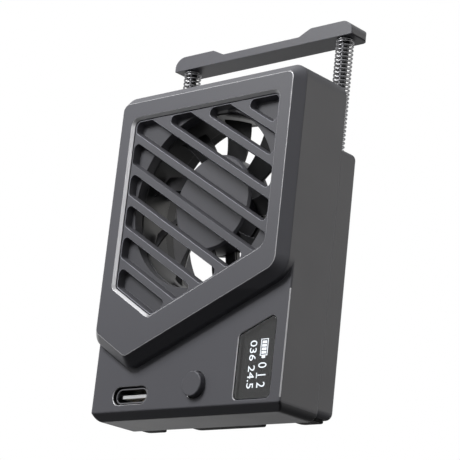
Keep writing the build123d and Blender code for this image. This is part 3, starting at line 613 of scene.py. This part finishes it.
def slab(low, high, name, bevel=0.0):
    """A small block between two corners, with softened edges."""
    nothing_selected()
    middle = [(a + b) / 2 for a, b in zip(low, high)]
    bpy.ops.mesh.primitive_cube_add(size=1.0, location=middle)
    piece = bpy.context.object
    piece.name = name
    piece.scale = [b - a for a, b in zip(low, high)]
    settle(piece)
    if bevel:
        bpy.ops.object.mode_set(mode="EDIT")
        bpy.ops.mesh.select_all(action="SELECT")
        bpy.ops.mesh.bevel(offset=bevel, segments=2, affect="EDGES")
        bpy.ops.object.mode_set(mode="OBJECT")
    return piece


def screen_box(x_range, z_range, name):
    """A flat lit mark on the display panel, in millimetres."""
    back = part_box("display_panel")[0].y
    depth = settings().sizes.mark_depth
    low = (x_range[0] * MM, back - depth, z_range[0] * MM)
    high = (x_range[1] * MM, back, z_range[1] * MM)
    return slab(low, high, name)


def screen_text(words, top_x, start_z, high, wide, name):
    """Plain numbers that read downwards, as on the turned display, in millimetres."""
    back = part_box("display_panel")[0].y
    nothing_selected()
    bpy.ops.object.text_add()
    piece = bpy.context.object
    piece.name = name
    piece.data.body = words
    piece.data.size = 1.0
    piece.data.resolution_u = 4
    alone(piece)
    bpy.ops.object.convert(target="MESH")
    piece = bpy.context.object
    points = [corner.co for corner in piece.data.vertices]
    left = min(point.x for point in points)
    low = min(point.y for point in points)
    span = max(point.x for point in points) - left
    tall = max(point.y for point in points) - low
    along = wide * MM / span
    up = high * MM / tall
    place = Matrix(
        (
            (0, up, 0, top_x * MM - high * MM - low * up),
            (0, 0, -1, back),
            (-along, 0, 0, start_z * MM + left * along),
            (0, 0, 0, 1),
        )
    )
    piece.matrix_world = place
    settle(piece)
    bpy.ops.object.mode_set(mode="EDIT")
    bpy.ops.mesh.select_all(action="SELECT")
    bpy.ops.mesh.extrude_region_move(
        TRANSFORM_OT_translate={"value": (0, -settings().sizes.mark_depth, 0)}
    )
    bpy.ops.mesh.select_all(action="SELECT")
    bpy.ops.mesh.normals_make_consistent(inside=False)
    bpy.ops.object.mode_set(mode="OBJECT")
    return piece


class PieceOperator:
    """What every operator of the fan shares."""

    bl_options = {"REGISTER", "UNDO"}


class FinishPlastics(PieceOperator, bpy.types.Operator):
    """Give the case, grille, fan and inner plastics their finishes"""

    bl_idname = "cooling_fan.finish_plastics"
    bl_label = "Finish plastics"

    def execute(self, context):
        colours = settings().colours
        # The case, cover, bar and grille carry a painted highlight on their edges by their edge factors
        paint(case_finish("case_plastic", colours.case, colours.window_highlight), "front_shell")
        paint(moulded("cover_plastic", colours.case, 0.5, edge=2.0), "rear_cover")
        paint(moulded("bar_plastic", colours.case, 0.46, edge=2.4, radius=0.0002), "top_bar")
        paint(grille_finish("grille_plastic", colours.grille), "front_grille")
        paint(moulded("button_plastic", colours.case, 0.42, grain=0.000006), "button_cap")
        # The fan frame and the blades take the duct colour, a painted shade inside the fan
        paint(moulded("fan_frame_plastic", colours.duct, 0.44, grain=0.000005), "fan_frame")
        paint(rotor_finish("rotor_plastic", colours.fan, colours.duct), "impeller")
        inner = moulded("inner_plastic", colours.inner, 0.55)
        paint(inner, "chassis_plate", "display_holder", "switch_body")
        paint(moulded("plunger_plastic", (0.3, 0.3, 0.3), 0.5), "switch_plunger")
        paint(rubber("foot_rubber", colours.rubber), "foot_left", "foot_middle", "foot_right")
        return {"FINISHED"}


class FinishMetals(PieceOperator, bpy.types.Operator):
    """Give the rods, bushes, screws, shaft and motor iron their finishes"""

    bl_idname = "cooling_fan.finish_metals"
    bl_label = "Finish metals"

    def execute(self, context):
        colours = settings().colours
        paint(metal("rod_steel", colours.rod, 0.3, (6.0, 6.0, 0.4)), "guide_rods")
        paint(metal("shaft_steel", colours.steel, 0.22, (6.0, 0.4, 6.0)), "fan_shaft")
        paint(metal("bearing_steel", colours.steel, 0.25), "fan_bearings")
        paint(metal("bush_brass", (0.62, 0.44, 0.2), 0.3), "guide_bushes")
        black = metal("screw_black", (0.055, 0.055, 0.06), 0.42, wear=0.8)
        paint(black, "fan_screws", "plate_screws", "cover_screws", "board_screws")
        paint(metal("yoke_steel", (0.42, 0.42, 0.43), 0.34), "rotor_yoke")
        paint(metal("core_iron", (0.26, 0.26, 0.28), 0.4, (1.0, 9.0, 1.0)), "stator_core")
        paint(metal("magnet_ferrite", (0.045, 0.045, 0.05), 0.5), "magnet_ring")
        paint(metal("socket_steel", colours.dark_steel, 0.3), "socket_shell")
        return {"FINISHED"}


class FinishElectronics(PieceOperator, bpy.types.Operator):
    """Give the boards, leads, cell, windings and display their finishes"""

    bl_idname = "cooling_fan.finish_electronics"
    bl_label = "Finish electronics"

    def execute(self, context):
        colours = settings().colours
        paint(circuit("board_mask", colours.board), "main_board", "motor_board")
        paint(wound("winding_copper", colours.copper), "stator_coils")
        paint(moulded("chip_resin", (0.02, 0.02, 0.022), 0.4), "board_chips")
        paint(moulded("lead_sleeve", (0.05, 0.05, 0.055), 0.4), "fan_lead", "battery_lead")
        paint(moulded("flex_film", (0.3, 0.14, 0.03), 0.3), "display_flex")
        paint(metal("cell_pouch", (0.6, 0.61, 0.63), 0.38), "battery")
        paint(moulded("tongue_resin", colours.tongue, 0.35, grain=0.000003), "socket_tongue")
        paint(lens("display_lens", colours.lens), "display_window")
        paint(moulded("panel_glass", (0.008, 0.008, 0.009), 0.15), "display_panel")
        return {"FINISHED"}


class MakeSprings(PieceOperator, bpy.types.Operator):
    """Wind the two compression springs round their rods"""

    bl_idname = "cooling_fan.make_springs"
    bl_label = "Springs"

    def execute(self, context):
        steel = metal("spring_steel", settings().colours.spring, 0.25)
        for side, name, node in ((-1, "coil_left", "spring_left"), (1, "coil_right", "spring_right")):
            piece = finished(spring(side, name, node), steel, "housing", (node,))
            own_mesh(piece)
        return {"FINISHED"}


class MakeDisplayMarks(PieceOperator, bpy.types.Operator):
    """Put the battery sign and plain numbers on the display"""

    bl_idname = "cooling_fan.make_display_marks"
    bl_label = "Display marks"

    def execute(self, context):
        light = lit("display_light", settings().colours.marks)
        rim = 0.16
        left, right, low, high = 18.3, 20.2, 11.3, 14.7
        sign = [
            screen_box((left, right), (low, low + rim), "battery_sign"),
            screen_box((left, right), (high - rim, high), "battery_sign"),
            screen_box((left, left + rim), (low, high), "battery_sign"),
            screen_box((right - rim, right), (low, high), "battery_sign"),
            screen_box((left + 0.5, right - 0.5), (low - 0.5, low), "battery_sign"),
        ]
        for index in range(4):
            bottom = low + 0.36 + index * 0.7
            sign.append(screen_box((left + 0.36, right - 0.36), (bottom, bottom + 0.54), "battery_sign"))
        finished(joined(sign, "battery_sign"), light, "housing")
        speeds = screen_text("0 1 2", 20.25, 9.95, 2.1, 5.0, "speed_numbers")
        under = screen_box((17.85, 18.03), (6.85, 7.95), "speed_numbers")
        finished(joined([speeds, under], "speed_numbers"), light, "housing")
        reading = screen_text("036 24.5", 17.3, 14.5, 1.7, 9.6, "reading_numbers")
        finished(reading, light, "housing")
        return {"FINISHED"}


class MakeSocketContacts(PieceOperator, bpy.types.Operator):
    """Lay the contact strips on both sides of the charging tongue"""

    bl_idname = "cooling_fan.make_socket_contacts"
    bl_label = "Socket contacts"

    def execute(self, context):
        sizes = settings().sizes
        low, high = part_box("socket_tongue")
        middle_x = (low.x + high.x) / 2
        middle_z = (low.z + high.z) / 2
        gold = metal("contact_gold", (0.9, 0.72, 0.42), 0.22)
        strips = []
        for side in (-1, 1):
            face = middle_z + side * 0.35 * MM
            for index in range(12):
                x = middle_x + (index - 5.5) * sizes.contact_pitch
                near = (x - 0.13 * MM, low.y + 0.35 * MM, face - 0.02 * MM)
                far = (x + 0.13 * MM, low.y + 3.2 * MM, face + 0.02 * MM)
                strips.append(slab(near, far, "socket_contacts", 0.005 * MM))
        finished(joined(strips, "socket_contacts"), gold, "housing")
        return {"FINISHED"}


class MakeStage(PieceOperator, bpy.types.Operator):
    """Set up the pale floor, the soft lamps, the world and the camera"""

    bl_idname = "cooling_fan.make_stage"
    bl_label = "Stage"

    def execute(self, context):
        nothing_selected()
        bpy.ops.mesh.primitive_circle_add(
            radius=1.2, vertices=96, fill_type="NGON", location=(0, 0, -0.0003)
        )
        floor = bpy.context.object
        floor.name = "floor"
        settle(floor)
        finish = Finish("floor_card")
        grain = finish.noise(300.0, 3.0, 0.5)
        finish.set(Base_Color=finish.tint(grain, (0.5, 0.5, 0.5), (0.54, 0.54, 0.54)), Roughness=0.9)
        finish.set(Emission_Color=(0.97, 0.97, 1.0), Emission_Strength=0.5)
        under = finish.tree.nodes.new("ShaderNodeNewGeometry").outputs["Backfacing"]
        ray = finish.tree.nodes.new("ShaderNodeLightPath").outputs
        seen = finish.math("MAXIMUM", ray["Is Camera Ray"], ray["Is Transmission Ray"])
        unseen = finish.math("MAXIMUM", under, finish.math("SUBTRACT", 1.0, seen))
        clear = finish.tree.nodes.new("ShaderNodeBsdfTransparent")
        choose = finish.tree.nodes.new("ShaderNodeMixShader")
        finish.link(unseen, choose.inputs[0])
        finish.link(finish.shader.outputs["BSDF"], choose.inputs[1])
        finish.link(clear.outputs["BSDF"], choose.inputs[2])
        finish.link(choose.outputs["Shader"], finish.output.inputs["Surface"])
        floor.data.materials.append(finish.material)
        self.light_world()
        self.lamp("key_lamp", (-0.07, -0.18, 0.18), 0.1, 0.1, 0.48)
        self.lamp("front_lamp", (-0.25, -0.78, 0.72), 0.4, 0.4, 2.05)
        self.lamp("edge_lamp", (0.58, -0.55, 0.28), 0.12, 0.12, 0.38)
        self.lamp("side_lamp", (0.7, 0.6, 0.3), 0.5, 0.5, 2.35, (1.0, 0.98, 0.92))
        self.lamp("top_lamp", (-0.2, -0.1, 0.9), 0.4, 0.4, 1.2)
        self.lamp("low_lamp", (-0.55, 0.36, -0.3), 0.4, 0.4, 0.5)
        bpy.ops.object.camera_add(
            location=(0.26098, -0.276635, -0.068067),
            rotation=[math.radians(angle) for angle in (106.05079, -5.99057, 41.46433)],
        )
        camera = bpy.context.object
        camera.data.lens = 149.559
        camera.data.sensor_width = 36.0
        camera.data.clip_start = 0.01
        bpy.context.scene.camera = camera
        bpy.context.scene.view_settings.view_transform = "Standard"
        return {"FINISHED"}

    def light_world(self):
        """White to the camera and through glass, darker underneath for gloss, and dim as a light."""
        world = bpy.data.worlds.new("studio")
        bpy.context.scene.world = world
        world.use_nodes = True
        tree = world.node_tree
        tree.nodes.clear()
        path = tree.nodes.new("ShaderNodeLightPath")
        seen = path.outputs["Is Camera Ray"]
        for kind in ("Is Transmission Ray", "Is Glossy Ray"):
            either = tree.nodes.new("ShaderNodeMath")
            either.operation = "MAXIMUM"
            tree.links.new(seen, either.inputs[0])
            tree.links.new(path.outputs[kind], either.inputs[1])
            seen = either.outputs["Value"]
        direction = tree.nodes.new("ShaderNodeTexCoord").outputs["Generated"]
        axes = tree.nodes.new("ShaderNodeSeparateXYZ")
        tree.links.new(direction, axes.inputs["Vector"])
        gloss = tree.nodes.new("ShaderNodeMapRange")
        gloss.interpolation_type = "SMOOTHSTEP"
        for key, value in (("From Min", -0.75), ("From Max", 0.1), ("To Min", 0.04), ("To Max", 1.0)):
            gloss.inputs[key].default_value = value
        tree.links.new(axes.outputs["Z"], gloss.inputs["Value"])
        high = tree.nodes.new("ShaderNodeMapRange")
        high.inputs["To Min"].default_value = 1.0
        tree.links.new(path.outputs["Is Glossy Ray"], high.inputs["Value"])
        tree.links.new(gloss.outputs["Result"], high.inputs["To Max"])
        strength = tree.nodes.new("ShaderNodeMapRange")
        strength.inputs["To Min"].default_value = 0.04
        tree.links.new(high.outputs["Result"], strength.inputs["To Max"])
        tree.links.new(seen, strength.inputs["Value"])
        light = tree.nodes.new("ShaderNodeBackground")
        light.inputs["Color"].default_value = (1.0, 1.0, 1.0, 1.0)
        tree.links.new(strength.outputs["Result"], light.inputs["Strength"])
        output = tree.nodes.new("ShaderNodeOutputWorld")
        tree.links.new(light.outputs["Background"], output.inputs["Surface"])

    def lamp(self, name, place, wide, high, power, tone=(1.0, 1.0, 1.0)):
        """A soft area lamp turned to the middle of the object."""
        bpy.ops.object.light_add(type="AREA", location=place)
        piece = bpy.context.object
        piece.name = name
        piece.data.shape = "RECTANGLE"
        piece.data.size = wide
        piece.data.size_y = high
        piece.data.energy = power
        piece.data.color = tone
        piece.visible_camera = False
        aim = Vector((0, 0, 0.04)) - Vector(place)
        piece.rotation_euler = aim.to_track_quat("-Z", "Y").to_euler()


class CoolingFanPanel(bpy.types.Panel):
    """Settings and steps of the cooling fan"""

    bl_idname = "VIEW3D_PT_cooling_fan"
    bl_label = "Cooling fan"
    bl_space_type = "VIEW_3D"
    bl_region_type = "UI"
    bl_category = "Cooling fan"

    def draw(self, context):
        fan = context.scene.cooling_fan
        for group in (fan.sizes, fan.colours):
            box = self.layout.box()
            for key in group.__annotations__:
                box.prop(group, key)
        for step in steps:
            self.layout.operator(step.bl_idname)


steps = (
    MakeStage,
    FinishPlastics,
    FinishMetals,
    FinishElectronics,
    MakeSprings,
    MakeDisplayMarks,
    MakeSocketContacts,
)
classes = (CoolingFanSizes, CoolingFanColours, CoolingFanSettings, *steps, CoolingFanPanel)


def register():
    """Registers the classes and the settings."""
    for item in classes:
        bpy.utils.register_class(item)
    bpy.types.Scene.cooling_fan = PointerProperty(type=CoolingFanSettings)


def unregister():
    """Takes the settings and the classes away again."""
    del bpy.types.Scene.cooling_fan
    for item in reversed(classes):
        bpy.utils.unregister_class(item)


def main():
    """Registers the add-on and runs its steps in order."""
    register()
    for step in steps:
        group, name = step.bl_idname.split(".")
        getattr(getattr(bpy.ops, group), name)()


if __name__ == "__main__":
    main()
